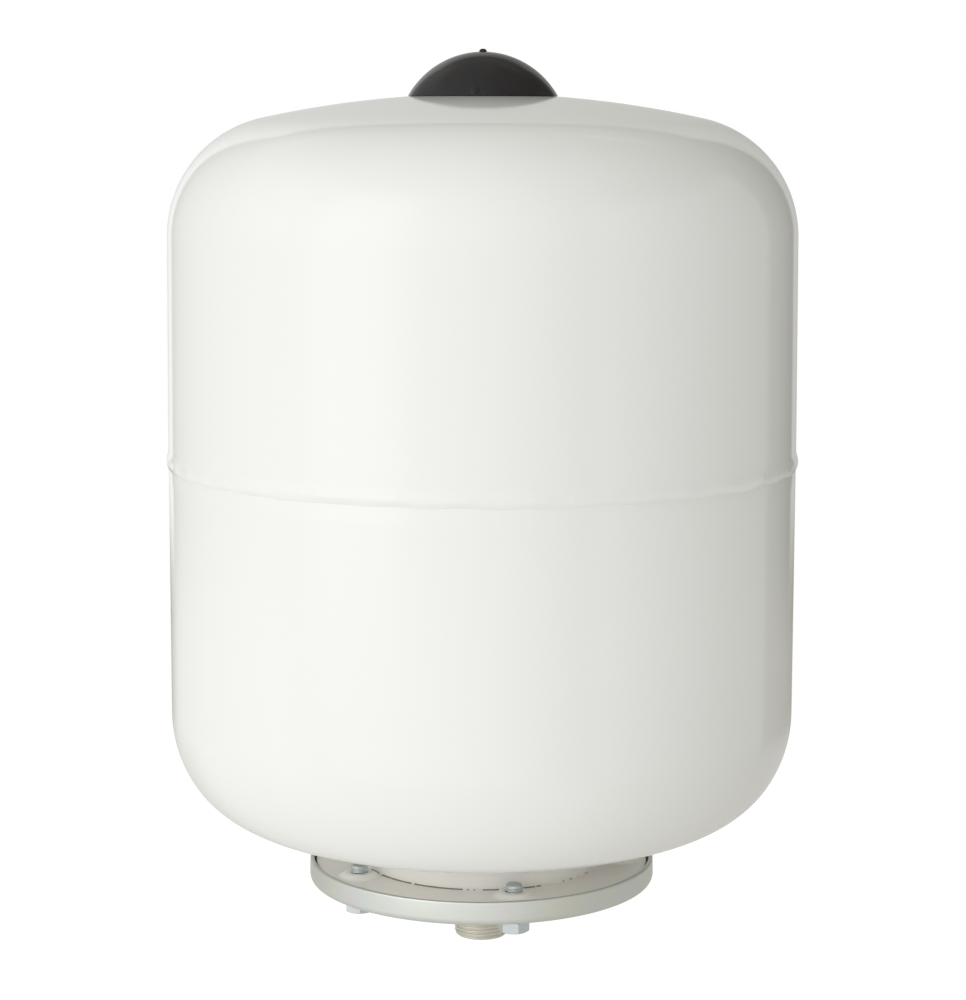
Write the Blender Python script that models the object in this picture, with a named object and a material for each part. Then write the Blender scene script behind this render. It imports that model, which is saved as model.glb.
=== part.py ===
"""Expansion vessel of about 24 litres, with a replaceable bladder.

Two pressed steel shells are welded together at the middle. The lower one ends in a drawn neck whose
lip sits under a ring flange. A zinc plated counterflange with an upturned rim is bolted against that
ring, and it clamps the bladder's lip. It carries the threaded water nipple. On top, a welded bush
holds the air valve under a black cover that pulls off.

Everything is in metres. Z points up, the vessel's axis is the Z axis, and the nipple's free end face
lies at Z = 0.
"""

import math

import bpy
import bmesh
from mathutils import Matrix, Vector
from mathutils.geometry import interpolate_bezier

MM = 0.001
GAP = 0.3 * MM

# Shells
SHEET = 1.5 * MM
UPPER_MOUTH_R = 150.0 * MM
UPPER_MOUTH_Z = 238.9 * MM
UPPER_WALL_R = 149.1 * MM
UPPER_WALL_Z = 342.9 * MM
UPPER_KNUCKLE_R = 57.0 * MM
UPPER_APEX_Z = 409.9 * MM
LOWER_STEP_R = 149.9 * MM
LOWER_STEP_Z = 235.9 * MM
LOWER_WALL_R = 150.15 * MM
LOWER_WALL_Z = 115.0 * MM
LOWER_SHOULDER_R = 58.0 * MM
LOWER_SHOULDER_DEG = 32.0
LOWER_KNUCKLE_R = 46.7 * MM
LOWER_APEX_Z = 46.7 * MM
SPIGOT_TOP_Z = 251.0 * MM
SPIGOT_FOOT_Z = 238.5 * MM
WELD_CREST_R = 151.0 * MM
WELD_LOW_Z = 234.4 * MM
WELD_HIGH_Z = 240.6 * MM

# Neck and flanges
NECK_R = 57.9 * MM
NECK_FILLET_R = 4.0 * MM
LIP_R = 63.0 * MM
RING_OUTER_R = 81.0 * MM
RING_TOP_Z = 39.3 * MM
RING_BOTTOM_Z = 35.3 * MM
LIP_TOP_Z = RING_BOTTOM_Z + SHEET
BOSS_FOOT_R = 9.0 * MM
BOSS_TOP_R = 6.4 * MM
BOSS_TOP_Z = 41.3 * MM
RIM_R = 84.2 * MM
RIM_TOP_Z = 41.2 * MM
RIM_BEND_R = 3.0 * MM
PLATE_SHEET = 2.0 * MM
PLATE_BOTTOM_Z = 29.8 * MM
PLATE_TOP_Z = PLATE_BOTTOM_Z + PLATE_SHEET

# Flange bolts: five M8
BOLT_COUNT = 5
BOLT_CIRCLE_R = 68.0 * MM
FIRST_BOLT_DEG = 12.9
BOLT_R = 4.0 * MM
BOLT_TIP_R = 3.15 * MM
BOLT_TIP_Z = 45.1 * MM
HEAD_APOTHEM = 6.5 * MM
HEAD_HEIGHT = 5.3 * MM
WASHER_R = 8.0 * MM
WASHER_THICK = 1.6 * MM
WASHER_TOP_Z = PLATE_BOTTOM_Z - GAP
HEAD_TOP_Z = WASHER_TOP_Z - WASHER_THICK - GAP

# Water nipple, G 3/4 male
NIPPLE_R = 13.2 * MM
NIPPLE_BORE_R = 10.0 * MM
NIPPLE_TOP_Z = 33.6 * MM
NIPPLE_WELD_LEG = 3.4 * MM

# Bladder
BLADDER_WALL = 2.0 * MM
BLADDER_NECK_R = 55.4 * MM
BLADDER_BELLY_R = 104.0 * MM
BLADDER_BELLY_Z = 195.0 * MM
BLADDER_TOP_Z = 332.0 * MM
BLADDER_LIP_R = 63.6 * MM

# Air valve
BUSH_R = 10.0 * MM
BUSH_BORE_R = 6.4 * MM
BUSH_BOTTOM_Z = 399.5 * MM
BUSH_TOP_Z = 414.5 * MM
BUSH_WELD_LEG = 2.6 * MM
VALVE_THREAD_R = 6.1 * MM
VALVE_HEX_APOTHEM = 7.0 * MM
VALVE_HEX_Z = 416.2 * MM
VALVE_HEX_HEIGHT = 3.0 * MM
STEM_R = 3.85 * MM
STEM_TOP_Z = 426.9 * MM
CHAMBER_R = 2.5 * MM
CHAMBER_LEDGE_Z = 413.0 * MM
CORE_BOTTOM_Z = 420.5 * MM
CORE_TOP_Z = 425.8 * MM
PIN_R = 0.55 * MM
PIN_FOOT_R = 1.9 * MM
PIN_FOOT_Z = 418.7 * MM
SPRING_R = 1.75 * MM
SPRING_WIRE_R = 0.2 * MM
SPRING_TURNS = 4

# Valve cover
COVER_R = 35.4 * MM
COVER_RIM_Z = 408.8 * MM
COVER_TOP_Z = 429.5 * MM
COVER_WALL = 1.6 * MM
COVER_SLEEVE_R = 6.2 * MM
COVER_SLEEVE_Z = 420.2 * MM
NUB_R = 1.75 * MM
NUB_TOP_Z = 430.9 * MM

# Segments round the axis: one count for all the wide pieces, so that their facets line up
WIDE = 40
MIDDLE = 24
SMALL = 12


def clear_scene():
    for obj in list(bpy.data.objects):
        bpy.data.objects.remove(obj, do_unlink=True)


def finish_material(name, colour, roughness, metallic=0.0):
    material = bpy.data.materials.new(name)
    material.use_nodes = True
    shader = material.node_tree.nodes["Principled BSDF"]
    shader.inputs["Base Color"].default_value = (*colour, 1.0)
    shader.inputs["Roughness"].default_value = roughness
    shader.inputs["Metallic"].default_value = metallic
    return material


def arc(centre, radius, first_deg, last_deg, steps):
    """Points (r, z) on an arc, from the first angle to the last, both included."""
    points = []
    for step in range(steps + 1):
        angle = math.radians(first_deg + (last_deg - first_deg) * step / steps)
        points.append((centre[0] + radius * math.cos(angle), centre[1] + radius * math.sin(angle)))
    return points


def crown_radius(wall_r, wall_z, knuckle, apex_z):
    """Radius of the crown arc that is tangent to the knuckle arc and passes through the apex."""
    height = abs(apex_z - wall_z)
    across = wall_r - knuckle
    return (across**2 + height**2 - knuckle**2) / (2 * (height - knuckle))


def head_outline(wall_r, wall_z, knuckle, apex_z, end_r, first_deg=0, knuckle_steps=5, crown_steps=3):
    """Outline of a pressed head, from the start of its knuckle to radius end_r on its crown."""
    up = 1 if apex_z > wall_z else -1
    crown = crown_radius(wall_r, wall_z, knuckle, apex_z)
    crown_z = apex_z - up * crown
    joint = math.degrees(math.atan2(up * (wall_z - crown_z), wall_r - knuckle))
    end = math.degrees(math.acos(end_r / crown))
    bend = arc((wall_r - knuckle, wall_z), knuckle, up * first_deg, up * joint, knuckle_steps)
    return bend + arc((0, crown_z), crown, up * joint, up * end, crown_steps)[1:]


def crown_height(wall_r, wall_z, knuckle, apex_z, at_r):
    """Z of a head's crown at a radius."""
    return head_outline(wall_r, wall_z, knuckle, apex_z, at_r)[-1][1]


def beside(points, distance):
    """The line at this distance on the left of an open line of points (r, z)."""
    moved = []
    for index, point in enumerate(points):
        before = Vector(points[max(index - 1, 0)])
        after = Vector(points[min(index + 1, len(points) - 1)])
        here = Vector(point)
        first = (here - before).normalized() if index else (after - here).normalized()
        second = (after - here).normalized() if index < len(points) - 1 else first
        along = (first + second).normalized()
        # The shift is longer at a bend, so that the sheet keeps its thickness there.
        shift = distance / max(along.dot(first), 0.5)
        moved.append((here.x - along.y * shift, here.y + along.x * shift))
    return moved


def sheet(points, thickness):
    """Closed section of a sheet: the line, and its copy beside it. A negative thickness goes right."""
    return points + beside(points, thickness)[::-1]


def hexagon_factor(angle):
    """Distance of a hexagon's side from its middle at an angle, for a hexagon of apothem 1."""
    turn = math.pi / 3
    return 1 / math.cos((angle + turn / 2) % turn - turn / 2)


def turned(name, section, material, steps, hexed=(), place=(0, 0, 0), turn=0.0):
    """Turns a section of points (r, z) about Z into one closed body.

    A section that starts and ends on the axis makes a solid piece, and any other is closed on itself.
    The points whose numbers are in hexed lie on a hexagon instead of a circle.
    """
    mesh = bpy.data.meshes.new(name)
    work = bmesh.new()
    on_axis = section[0][0] == 0 and section[-1][0] == 0
    columns = []
    for step in range(steps):
        angle = 2 * math.pi * step / steps
        column = []
        for index, (r, z) in enumerate(section):
            wide = r * hexagon_factor(angle) if index in hexed else r
            if r == 0 and step:
                column.append(columns[0][index])
            else:
                column.append(work.verts.new((wide * math.cos(angle), wide * math.sin(angle), z)))
        columns.append(column)
    count = len(section)
    for step in range(steps):
        left = columns[step]
        right = columns[(step + 1) % steps]
        for index in range(count - 1 if on_axis else count):
            above = (index + 1) % count
            corners = [left[index], right[index], right[above], left[above]]
            work.faces.new(list(dict.fromkeys(corners)))
    bmesh.ops.recalc_face_normals(work, faces=work.faces)
    work.to_mesh(mesh)
    work.free()
    mesh.shade_smooth()
    mesh.set_sharp_from_angle(angle=math.radians(32))
    mesh.materials.append(material)
    return placed(name, mesh, place, turn)


def placed(name, mesh, place=(0, 0, 0), turn=0.0):
    obj = bpy.data.objects.new(name, mesh)
    obj.location = place
    obj.rotation_euler = (0, 0, turn)
    bpy.context.scene.collection.objects.link(obj)
    return obj


def bolt_places():
    """(number, x, y, angle) of each flange bolt. The angle runs from -Y towards +X."""
    for number in range(BOLT_COUNT):
        angle = math.radians(FIRST_BOLT_DEG + 360 / BOLT_COUNT * number)
        x = BOLT_CIRCLE_R * math.sin(angle)
        y = -BOLT_CIRCLE_R * math.cos(angle)
        yield number + 1, x, y, angle


def bolt_row(name, low_r, low_z, high_r, high_z, sides):
    """Helper with one cone on each bolt axis, for Boolean use. It isn't a piece of the vessel."""
    mesh = bpy.data.meshes.new(name)
    work = bmesh.new()
    for _, x, y, _ in bolt_places():
        bmesh.ops.create_cone(
            work,
            cap_ends=True,
            segments=sides,
            radius1=low_r,
            radius2=high_r,
            depth=high_z - low_z,
            matrix=Matrix.Translation((x, y, (low_z + high_z) / 2)),
        )
    work.to_mesh(mesh)
    work.free()
    helper = placed(name, mesh)
    helper.hide_render = True
    helper.display_type = "WIRE"
    return helper


def boolean(obj, helper, operation):
    modifier = obj.modifiers.new(operation.title(), "BOOLEAN")
    modifier.operation = operation
    modifier.object = helper
    modifier.solver = "EXACT"


def make_upper_shell(paint):
    hole_r = BUSH_R + GAP
    outer = [(UPPER_MOUTH_R, UPPER_MOUTH_Z)]
    outer += head_outline(UPPER_WALL_R, UPPER_WALL_Z, UPPER_KNUCKLE_R, UPPER_APEX_Z, hole_r)
    turned("upper_shell", sheet(outer, SHEET), paint, WIDE)


def make_lower_shell(paint):
    spigot_r = UPPER_MOUTH_R - SHEET - GAP
    crown_end = NECK_R + NECK_FILLET_R
    shoulder_centre = (LOWER_WALL_R - LOWER_SHOULDER_R, LOWER_WALL_Z)
    shoulder = arc(shoulder_centre, LOWER_SHOULDER_R, 0, -LOWER_SHOULDER_DEG, 2)
    turn = math.radians(LOWER_SHOULDER_DEG)
    inward = LOWER_SHOULDER_R - LOWER_KNUCKLE_R
    knuckle_wall_r = LOWER_WALL_R - inward * (1 - math.cos(turn))
    knuckle_z = LOWER_WALL_Z - inward * math.sin(turn)
    head = head_outline(knuckle_wall_r, knuckle_z, LOWER_KNUCKLE_R, LOWER_APEX_Z, crown_end,
                        LOWER_SHOULDER_DEG, 4)
    fillet_centre = (crown_end, head[-1][1] - NECK_FILLET_R)
    outer = [(spigot_r, SPIGOT_TOP_Z), (spigot_r, SPIGOT_FOOT_Z), (LOWER_STEP_R, LOWER_STEP_Z)]
    outer += shoulder + head[1:]
    outer += arc(fillet_centre, NECK_FILLET_R, 120, 180, 2)
    outer += [(NECK_R, LIP_TOP_Z + 0.8 * MM), (NECK_R + 0.8 * MM, LIP_TOP_Z), (LIP_R, LIP_TOP_Z)]
    turned("lower_shell", sheet(outer, -SHEET), paint, WIDE)


def make_girth_weld(paint):
    groove_z = UPPER_MOUTH_Z - GAP
    section = [
        (LOWER_STEP_R + GAP, WELD_LOW_Z),
        (WELD_CREST_R - 0.5 * MM, WELD_LOW_Z + 0.9 * MM),
        (WELD_CREST_R, WELD_LOW_Z + 3.0 * MM),
        (WELD_CREST_R - 0.15 * MM, WELD_HIGH_Z - 1.6 * MM),
        (UPPER_MOUTH_R + GAP, WELD_HIGH_Z),
        (UPPER_MOUTH_R + GAP, groove_z),
        (UPPER_MOUTH_R - 1.2 * MM, groove_z),
        (LOWER_STEP_R + GAP, LOWER_STEP_Z + 0.1 * MM),
    ]
    turned("girth_weld", section, paint, WIDE)


def make_ring_flange(paint):
    bore = NECK_R + GAP
    recess_r = LIP_R + GAP
    recess_z = LIP_TOP_Z + GAP
    edge = 0.6 * MM
    section = [
        (bore + edge, RING_TOP_Z),
        (RING_OUTER_R - edge, RING_TOP_Z),
        (RING_OUTER_R, RING_TOP_Z - edge),
        (RING_OUTER_R, RING_BOTTOM_Z),
        (recess_r, RING_BOTTOM_Z),
        (recess_r, recess_z),
        (bore + 1.1 * MM, recess_z),
        (bore, recess_z + 1.1 * MM),
        (bore, RING_TOP_Z - edge),
    ]
    ring = turned("ring_flange", section, paint, WIDE)
    boss_foot_z = RING_TOP_Z - 0.8 * MM
    bosses = bolt_row("boss_helper", BOSS_FOOT_R, boss_foot_z, BOSS_TOP_R, BOSS_TOP_Z, SMALL)
    holes = bolt_row("tapped_hole_helper", BOLT_R + GAP, RING_BOTTOM_Z - 5 * MM, BOLT_R + GAP,
                     BOSS_TOP_Z + 5 * MM, SMALL)
    boolean(ring, bosses, "UNION")
    boolean(ring, holes, "DIFFERENCE")


def make_counterflange(zinc):
    bend_centre = (RIM_R - RIM_BEND_R, PLATE_BOTTOM_Z + RIM_BEND_R)
    lower = [(NIPPLE_R + GAP, PLATE_BOTTOM_Z)]
    lower += arc(bend_centre, RIM_BEND_R, -90, 0, 3)
    lower += [(RIM_R, RIM_TOP_Z)]
    plate = turned("counterflange", sheet(lower, PLATE_SHEET), zinc, WIDE)
    clearance_r = BOLT_R + 0.5 * MM
    holes = bolt_row("clearance_hole_helper", clearance_r, PLATE_BOTTOM_Z - 5 * MM, clearance_r,
                     PLATE_TOP_Z + 5 * MM, SMALL)
    boolean(plate, holes, "DIFFERENCE")


def make_nipple(steel, weld):
    edge = 1.1 * MM
    section = [
        (NIPPLE_BORE_R, 0),
        (NIPPLE_R - edge, 0),
        (NIPPLE_R, edge),
        (NIPPLE_R, NIPPLE_TOP_Z),
        (NIPPLE_BORE_R, NIPPLE_TOP_Z),
    ]
    turned("water_nipple", section, steel, MIDDLE)
    foot = PLATE_BOTTOM_Z - GAP
    inner = NIPPLE_R + GAP
    fillet = [(inner, foot - NIPPLE_WELD_LEG), (inner + NIPPLE_WELD_LEG, foot), (inner, foot)]
    turned("nipple_weld", fillet, weld, MIDDLE)


def make_bladder(rubber):
    bottom = PLATE_TOP_Z + GAP
    lip_top = RING_BOTTOM_Z - GAP
    neck = (BLADDER_NECK_R, 52 * MM)
    belly = (BLADDER_BELLY_R, BLADDER_BELLY_Z)
    top = (0, BLADDER_TOP_Z)
    rise = interpolate_bezier(neck, (BLADDER_NECK_R, 92 * MM), (BLADDER_BELLY_R, 135 * MM), belly, 6)
    close = interpolate_bezier(belly, (BLADDER_BELLY_R, 275 * MM), (66 * MM, BLADDER_TOP_Z), top, 7)
    curve = [tuple(point[:2]) for point in rise + close[1:]]
    curve[-1] = top
    inner = [tuple(point[:2]) for point in beside(curve, BLADDER_WALL)]
    inner[-1] = (0, BLADDER_TOP_Z - BLADDER_WALL)
    mouth_r = BLADDER_NECK_R - BLADDER_WALL
    foot = [(mouth_r, bottom), (BLADDER_LIP_R, bottom), (BLADDER_LIP_R, lip_top), (BLADDER_NECK_R, lip_top)]
    section = inner[::-1] + foot + curve
    turned("bladder", section, rubber, MIDDLE)


def make_fasteners(zinc):
    bottom = HEAD_TOP_Z - HEAD_HEIGHT
    corner = 0.7 * MM
    section = [
        (0, bottom),
        (HEAD_APOTHEM - 0.2 * MM, bottom),
        (HEAD_APOTHEM, bottom + corner),
        (HEAD_APOTHEM, HEAD_TOP_Z),
        (BOLT_R, HEAD_TOP_Z),
        (BOLT_R, BOLT_TIP_Z - 1.1 * MM),
        (BOLT_TIP_R, BOLT_TIP_Z),
        (0, BOLT_TIP_Z),
    ]
    hole_r = BOLT_R + GAP
    washer = [
        (hole_r, WASHER_TOP_Z - WASHER_THICK),
        (WASHER_R, WASHER_TOP_Z - WASHER_THICK),
        (WASHER_R, WASHER_TOP_Z),
        (hole_r, WASHER_TOP_Z),
    ]
    for number, x, y, angle in bolt_places():
        place = (x, y, 0)
        turned(f"flange_bolt_{number}", section, zinc, SMALL, hexed=(2, 3), place=place, turn=angle)
        turned(f"flange_washer_{number}", washer, zinc, SMALL, place=place, turn=angle)


def make_valve_bush(paint):
    edge = 0.8 * MM
    section = [
        (BUSH_BORE_R, BUSH_BOTTOM_Z),
        (BUSH_R, BUSH_BOTTOM_Z),
        (BUSH_R, BUSH_TOP_Z - edge),
        (BUSH_R - edge, BUSH_TOP_Z),
        (BUSH_BORE_R, BUSH_TOP_Z),
    ]
    turned("valve_bush", section, paint, MIDDLE)
    inner = BUSH_R + GAP
    dome = (UPPER_WALL_R, UPPER_WALL_Z, UPPER_KNUCKLE_R, UPPER_APEX_Z)
    foot = crown_height(*dome, inner) + GAP
    far_foot = crown_height(*dome, inner + BUSH_WELD_LEG) + GAP
    fillet = [(inner, foot), (inner + BUSH_WELD_LEG, far_foot), (inner, foot + BUSH_WELD_LEG)]
    turned("bush_weld", fillet, paint, MIDDLE)


def make_valve(brass, rubber, steel):
    hex_top = VALVE_HEX_Z + VALVE_HEX_HEIGHT
    edge = 0.6 * MM
    section = [
        (CHAMBER_R, STEM_TOP_Z),
        (CHAMBER_R, CHAMBER_LEDGE_Z),
        (CHAMBER_R - 0.9 * MM, CHAMBER_LEDGE_Z),
        (CHAMBER_R - 0.9 * MM, BUSH_BOTTOM_Z + 4 * MM),
        (VALVE_THREAD_R - edge, BUSH_BOTTOM_Z + 4 * MM),
        (VALVE_THREAD_R, BUSH_BOTTOM_Z + 4 * MM + edge),
        (VALVE_THREAD_R, VALVE_HEX_Z),
        (VALVE_HEX_APOTHEM, VALVE_HEX_Z),
        (VALVE_HEX_APOTHEM, hex_top - edge),
        (VALVE_HEX_APOTHEM - 0.2 * MM, hex_top),
        (STEM_R, hex_top),
        (STEM_R, STEM_TOP_Z - edge),
        (STEM_R - edge, STEM_TOP_Z),
    ]
    turned("valve_body", section, brass, MIDDLE, hexed=(7, 8))

    seal_inner = VALVE_THREAD_R + GAP
    seal_low = BUSH_TOP_Z + GAP
    seal_high = VALVE_HEX_Z - GAP
    seal = [(seal_inner, seal_low), (8.4 * MM, seal_low), (8.4 * MM, seal_high), (seal_inner, seal_high)]
    turned("valve_gasket", seal, rubber, MIDDLE)

    core_bore = PIN_R + 0.35 * MM
    core_r = CHAMBER_R - GAP
    core = [
        (core_bore, CORE_BOTTOM_Z),
        (core_r, CORE_BOTTOM_Z),
        (core_r, CORE_TOP_Z),
        (core_bore, CORE_TOP_Z),
    ]
    turned("valve_core", core, brass, SMALL)

    foot_top = PIN_FOOT_Z + 0.6 * MM
    pin = [
        (0, PIN_FOOT_Z),
        (PIN_FOOT_R, PIN_FOOT_Z),
        (PIN_FOOT_R, foot_top),
        (PIN_R, foot_top),
        (PIN_R, STEM_TOP_Z - 0.3 * MM),
        (PIN_R * 0.6, STEM_TOP_Z - 0.1 * MM),
        (0, STEM_TOP_Z - 0.1 * MM),
    ]
    turned("valve_pin", pin, brass, SMALL)
    ring_low = foot_top + GAP
    ring_high = CORE_BOTTOM_Z - GAP
    ring_inner = PIN_R + GAP
    ring_outer = PIN_FOOT_R + 0.1 * MM
    ring = [
        (ring_inner, ring_low),
        (ring_outer, ring_low),
        (ring_outer, ring_high),
        (ring_inner, ring_high),
    ]
    turned("valve_pin_seal", ring, rubber, SMALL)
    make_spring(steel)


def make_spring(steel):
    """Compression spring between the chamber's ledge and the pin's foot."""
    low = CHAMBER_LEDGE_Z + GAP + SPRING_WIRE_R
    high = PIN_FOOT_Z - GAP - SPRING_WIRE_R
    per_turn = 10
    count = SPRING_TURNS * per_turn
    curve = bpy.data.curves.new("valve_spring", "CURVE")
    curve.dimensions = "3D"
    curve.bevel_depth = SPRING_WIRE_R
    curve.bevel_resolution = 1
    curve.use_fill_caps = True
    line = curve.splines.new("POLY")
    line.points.add(count)
    for index, point in enumerate(line.points):
        angle = 2 * math.pi * index / per_turn
        z = low + (high - low) * index / count
        point.co = (SPRING_R * math.cos(angle), SPRING_R * math.sin(angle), z, 1)
    curve.materials.append(steel)
    spring = bpy.data.objects.new("valve_spring", curve)
    bpy.context.scene.collection.objects.link(spring)


def make_valve_cover(plastic):
    """Domed cover with a sleeve that grips the valve stem, and a moulding nub on top."""
    rise = COVER_TOP_Z - COVER_RIM_Z
    sphere = (COVER_R**2 + rise**2) / (2 * rise)
    middle = (0, COVER_TOP_Z - sphere)
    inner_r = sphere - COVER_WALL
    rim_deg = math.degrees(math.asin((COVER_RIM_Z - middle[1]) / sphere))
    inner_rim_deg = math.degrees(math.asin((COVER_RIM_Z - middle[1]) / inner_r))
    nub_deg = math.degrees(math.acos(NUB_R / sphere))
    sleeve_deg = math.degrees(math.acos(COVER_SLEEVE_R / inner_r))
    grip_r = STEM_R + GAP
    section = [(0, NUB_TOP_Z), (NUB_R * 0.7, NUB_TOP_Z - 0.4 * MM)]
    section += arc(middle, sphere, nub_deg, rim_deg, 6)
    section += arc(middle, inner_r, inner_rim_deg, sleeve_deg, 4)
    section += [
        (COVER_SLEEVE_R, COVER_SLEEVE_Z),
        (grip_r, COVER_SLEEVE_Z),
        (grip_r, STEM_TOP_Z + 0.7 * MM),
        (0, STEM_TOP_Z + 0.7 * MM),
    ]
    turned("valve_cover", section, plastic, WIDE - 8)


def main():
    clear_scene()
    white_paint = finish_material("white_paint", (0.80, 0.79, 0.75), 0.22)
    cream_paint = finish_material("cream_paint", (0.78, 0.73, 0.63), 0.30)
    zinc = finish_material("zinc_plate", (0.62, 0.65, 0.66), 0.28, 1.0)
    nipple_steel = finish_material("nipple_steel", (0.52, 0.51, 0.46), 0.30, 1.0)
    weld_steel = finish_material("weld_steel", (0.50, 0.50, 0.48), 0.45, 1.0)
    spring_steel = finish_material("spring_steel", (0.60, 0.60, 0.60), 0.25, 1.0)
    brass = finish_material("brass", (0.72, 0.56, 0.28), 0.28, 1.0)
    rubber = finish_material("black_rubber", (0.025, 0.025, 0.025), 0.60)
    plastic = finish_material("black_plastic", (0.03, 0.03, 0.03), 0.20)
    make_upper_shell(white_paint)
    make_lower_shell(white_paint)
    make_girth_weld(white_paint)
    make_ring_flange(cream_paint)
    make_counterflange(zinc)
    make_nipple(nipple_steel, weld_steel)
    make_bladder(rubber)
    make_fasteners(zinc)
    make_valve_bush(white_paint)
    make_valve(brass, rubber, spring_steel)
    make_valve_cover(plastic)


main()
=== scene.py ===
# %% [markdown]
# # An expansion vessel, built piece by piece
#
# The real object takes up the extra volume of heated water. Two pressed steel shells are welded
# together, a rubber bladder hangs inside them, and the space round the bladder holds air under
# pressure. The imported model gives every piece its place and size. This file adds what makes the pieces
# look real: rounded edges, threads, weld ripples, and a finish for each of them.
#
# The first cell loads that imported model.

import math

import bmesh
import bpy
import numpy as np
from mathutils import Matrix, Vector


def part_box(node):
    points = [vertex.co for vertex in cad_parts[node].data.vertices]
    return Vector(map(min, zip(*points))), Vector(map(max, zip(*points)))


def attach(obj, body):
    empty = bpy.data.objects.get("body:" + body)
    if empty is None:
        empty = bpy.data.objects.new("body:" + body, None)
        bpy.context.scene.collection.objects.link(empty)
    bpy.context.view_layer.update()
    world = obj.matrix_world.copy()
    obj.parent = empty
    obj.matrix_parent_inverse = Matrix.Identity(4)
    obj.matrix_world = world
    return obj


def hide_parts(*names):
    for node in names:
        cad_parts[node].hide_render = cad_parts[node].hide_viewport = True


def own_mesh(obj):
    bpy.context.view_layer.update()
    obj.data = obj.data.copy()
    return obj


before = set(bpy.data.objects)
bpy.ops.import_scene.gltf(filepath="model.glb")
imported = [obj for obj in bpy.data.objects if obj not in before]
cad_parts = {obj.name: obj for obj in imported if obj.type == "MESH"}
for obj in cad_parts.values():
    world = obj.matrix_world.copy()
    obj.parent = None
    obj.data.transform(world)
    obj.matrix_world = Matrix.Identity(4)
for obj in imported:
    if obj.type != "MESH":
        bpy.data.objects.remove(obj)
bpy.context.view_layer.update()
MM = 0.001


# %% [markdown]
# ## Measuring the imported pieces
#
# A new piece has to sit exactly where its packed twin sits. Reading the twin's box is safer than
# typing the numbers again, because the box follows when the model changes. All shapes below are
# written in millimetres, as on a drawing, and are scaled to metres when the mesh is made.

# %% Read a node's box in millimetres
def span(node):
    """(lowest corner, highest corner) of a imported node, in millimetres."""
    low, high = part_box(node)
    return low / MM, high / MM


plate_low, plate_high = span("counterflange")
RIM_R = plate_high.x
PLATE_BOTTOM = plate_low.z
RIM_TOP = plate_high.z
BOLT_NAMES = [f"flange_bolt_{number}" for number in range(1, 6)]
BOLT_PLACES = []
for bolt_name in BOLT_NAMES:
    bolt_low, bolt_high = span(bolt_name)
    BOLT_PLACES.append(((bolt_low.x + bolt_high.x) / 2, (bolt_low.y + bolt_high.y) / 2))
print("rim radius", round(RIM_R, 2), "bolts at", [(round(x, 1), round(y, 1)) for x, y in BOLT_PLACES])


# %% [markdown]
# ## Turning an outline into a mesh
#
# Almost every piece here was turned, pressed or spun round one axis, so almost every piece can be one
# outline turned round the Z axis. Blender has a Screw modifier for this, but a short function in mesh
# code is better here: it can also bend each point as it turns it. A thread, a hexagon and a weld bead
# are then only a rule for how far out a point sits at each angle.

# %% Turn an outline
def turned(name, outline, around, bend=None, sharp_deg=35):
    """Turn an outline of (radius, height) points about Z. Angle 0 faces front and grows to the right.

    An outline that starts and ends on the axis makes a solid piece. Any other is closed on itself.
    bend(angle, radius, height) may return new radii and heights for all the points at once.
    """
    outline = np.array(outline, float)
    rows = len(outline)
    on_axis = outline[0, 0] == 0 and outline[-1, 0] == 0
    angle = np.linspace(0, 2 * math.pi, around, endpoint=False)[:, None]
    radius = np.repeat(outline[None, :, 0], around, axis=0)
    height = np.repeat(outline[None, :, 1], around, axis=0)
    if bend:
        radius, height = bend(angle, radius, height)
    points = np.stack([radius * np.sin(angle), -radius * np.cos(angle), height], axis=2) * MM
    index = np.arange(around * rows).reshape(around, rows)
    beside = np.roll(index, -1, axis=0)
    corners = [index, beside, np.roll(beside, -1, axis=1), np.roll(index, -1, axis=1)]
    used = rows - 1 if on_axis else rows
    quads = np.stack(corners, axis=2)[:, :used].reshape(-1, 4)
    mesh = bpy.data.meshes.new(name)
    mesh.from_pydata(points.reshape(-1, 3).tolist(), [], quads.tolist())
    return tidied(name, mesh, sharp_deg)


def tidied(name, mesh, sharp_deg):
    """Merge doubled points, turn the faces outwards, shade smooth and put the piece in the scene."""
    work = bmesh.new()
    work.from_mesh(mesh)
    bmesh.ops.remove_doubles(work, verts=work.verts, dist=1e-7)
    bmesh.ops.recalc_face_normals(work, faces=work.faces)
    work.to_mesh(mesh)
    work.free()
    mesh.shade_smooth()
    mesh.set_sharp_from_angle(angle=math.radians(sharp_deg))
    piece = bpy.data.objects.new(name, mesh)
    bpy.context.scene.collection.objects.link(piece)
    return piece


# %% [markdown]
# ## Soft corners
#
# No real corner is perfectly sharp, and a small radius is what catches the light along an edge. The
# Bevel modifier would do it on the finished mesh. Rounding the outline before it is turned gives the
# same edge with fewer faces, and each corner can have its own size.

# %% Round the corners of an outline
def softened(corners, steps=4):
    """Closed outline of (radius, height, setback). Each corner becomes a curve that begins that far away."""
    points = []
    for number, (radius, height, setback) in enumerate(corners):
        here = Vector((radius, height))
        if not setback:
            points.append(tuple(here))
            continue
        ends = []
        for other in (corners[number - 1], corners[(number + 1) % len(corners)]):
            way = Vector(other[:2]) - here
            ends.append(here + way.normalized() * min(setback, way.length * 0.49))
        for step in range(steps + 1):
            t = step / steps
            points.append(tuple(ends[0] * (1 - t) ** 2 + here * 2 * t * (1 - t) + ends[1] * t * t))
    return points


def arc(middle, radius, first_deg, last_deg, steps):
    """Points on an arc, from the first angle to the last, both included."""
    angles = np.radians(np.linspace(first_deg, last_deg, steps + 1))
    return [(middle[0] + radius * math.cos(a), middle[1] + radius * math.sin(a)) for a in angles]


def line(start, end, steps):
    """Points on a straight line, both ends included."""
    return [tuple(Vector(start).lerp(Vector(end), step / steps)) for step in range(steps + 1)]


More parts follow.
